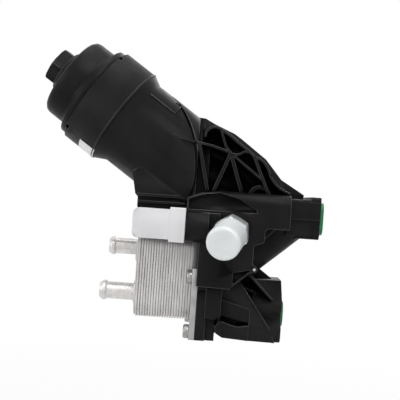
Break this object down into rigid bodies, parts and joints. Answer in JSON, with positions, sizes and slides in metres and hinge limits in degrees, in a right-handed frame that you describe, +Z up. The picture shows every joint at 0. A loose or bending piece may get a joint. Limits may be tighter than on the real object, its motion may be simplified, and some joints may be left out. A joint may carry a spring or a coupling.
{
  "type": "engine oil filter housing with oil cooler",
  "caption": "Black plastic oil filter housing with an inclined screw-cap bowl, a stacked-plate aluminium oil cooler with hose nipples, a pressure switch and two engine flanges.",
  "frame": {"origin": "centre of the upper engine flange's sealing face", "axes": "+X points at the engine, square to both engine flanges; +Z is up; -Y is the side with the pressure switch"},
  "size_m": [0.2694, 0.1737, 0.2683],
  "materials": {
    "housing_nylon": "moulded glass-filled nylon, satin black",
    "cap_nylon": "moulded nylon, satin black",
    "inner_nylon": "moulded nylon, black",
    "rubber_black": "black oil-proof rubber",
    "spring_steel": "drawn spring wire",
    "filter_paper": "cream filter paper",
    "element_plastic": "natural nylon",
    "seal_green": "green moulded rubber",
    "sleeve_steel": "zinc plated steel sleeve",
    "pin_steel": "ground steel",
    "core_aluminium": "brazed aluminium, dull",
    "plate_aluminium": "stamped aluminium, dull",
    "nipple_aluminium": "turned aluminium, dull",
    "bolt_steel": "zinc plated steel",
    "insert_brass": "turned brass",
    "switch_zinc": "clear zinc plated steel",
    "seal_metal": "soft sealing ring",
    "plug_nylon": "black plug insert",
    "terminal_tin": "tin plated brass blade",
    "cap_white": "translucent white polyethylene",
    "valve_nylon": "moulded nylon, black",
    "cover_white": "white polyethylene"
  },
  "bodies": {
    "housing": {"filter_housing": "housing_nylon", "gallery_cover": "housing_nylon", "check_cage": "inner_nylon", "check_spring": "spring_steel", "upper_flange_seal": "seal_green", "lower_flange_seal": "seal_green", "flange_sleeves": "sleeve_steel", "dowel": "pin_steel", "cooler_core": "core_aluminium", "cooler_end_plate": "core_aluminium", "cooler_base_plate": "plate_aluminium", "lower_nipple": "nipple_aluminium", "upper_nipple": "nipple_aluminium", "cooler_bolts": "bolt_steel", "thread_inserts": "insert_brass", "port_seals": "rubber_black", "switch_body": "switch_zinc", "switch_seal": "seal_metal", "switch_insulator": "plug_nylon", "switch_terminal": "terminal_tin", "valve_body": "valve_nylon", "valve_spring": "spring_steel", "valve_terminals": "terminal_tin"},
    "filter_cap": {"filter_cap": "cap_nylon", "cap_seal": "rubber_black"},
    "support_tube": {"support_tube": "inner_nylon", "bypass_retainer": "inner_nylon", "bypass_spring": "spring_steel"},
    "bypass_plate": {"bypass_plate": "inner_nylon"},
    "filter_element": {"filter_paper": "filter_paper", "element_bottom_plate": "element_plastic", "element_top_plate": "element_plastic", "drain_plunger": "element_plastic", "drain_seal": "rubber_black"},
    "check_plate": {"check_plate": "inner_nylon"},
    "valve_plunger": {"valve_plunger": "pin_steel"},
    "connector_cover": {"connector_cover": "cover_white"},
    "switch_cap": {"switch_cap": "cap_white"}
  },
  "joints": [
    {"name": "element_lift", "type": "slide", "parent": "housing", "child": "filter_element", "axis": [-0.8266, 0, 0.5628], "range_m": [0, 0.115]},
    {"name": "thread_rise", "type": "slide", "parent": "filter_element", "child": "support_tube", "axis": [-0.8266, 0, 0.5628], "range_m": [0, 0.01]},
    {"name": "cap_turn", "type": "hinge", "parent": "support_tube", "child": "filter_cap", "pos_m": [-0.2168, 0, 0.1048], "axis": [-0.8266, 0, 0.5628], "range_deg": [0, 900]},
    {"name": "bypass_open", "type": "slide", "parent": "support_tube", "child": "bypass_plate", "axis": [0.8266, 0, -0.5628], "range_m": [0, 0.004], "stiffness_N_per_m": 1500, "springref_m": -0.004, "deforming": ["bypass_spring"]},
    {"name": "check_open", "type": "slide", "parent": "housing", "child": "check_plate", "axis": [-1, 0, 0], "range_m": [0, 0.004], "stiffness_N_per_m": 250, "springref_m": -0.004, "deforming": ["check_spring"]},
    {"name": "valve_stroke", "type": "slide", "parent": "housing", "child": "valve_plunger", "axis": [-1, 0, 0], "range_m": [0, 0.0025], "stiffness_N_per_m": 800, "springref_m": -0.002, "deforming": ["valve_spring"]},
    {"name": "cover_pull", "type": "slide", "parent": "housing", "child": "connector_cover", "axis": [-1, 0, 0], "range_m": [0, 0.055]},
    {"name": "switch_cap_pull", "type": "slide", "parent": "housing", "child": "switch_cap", "axis": [-0.237, -0.9366, -0.258], "range_m": [0, 0.032]}
  ],
  "couplings": [
    {"joint": "thread_rise", "follows": "cap_turn", "m_per_rad": 0.00063662}
  ]
}
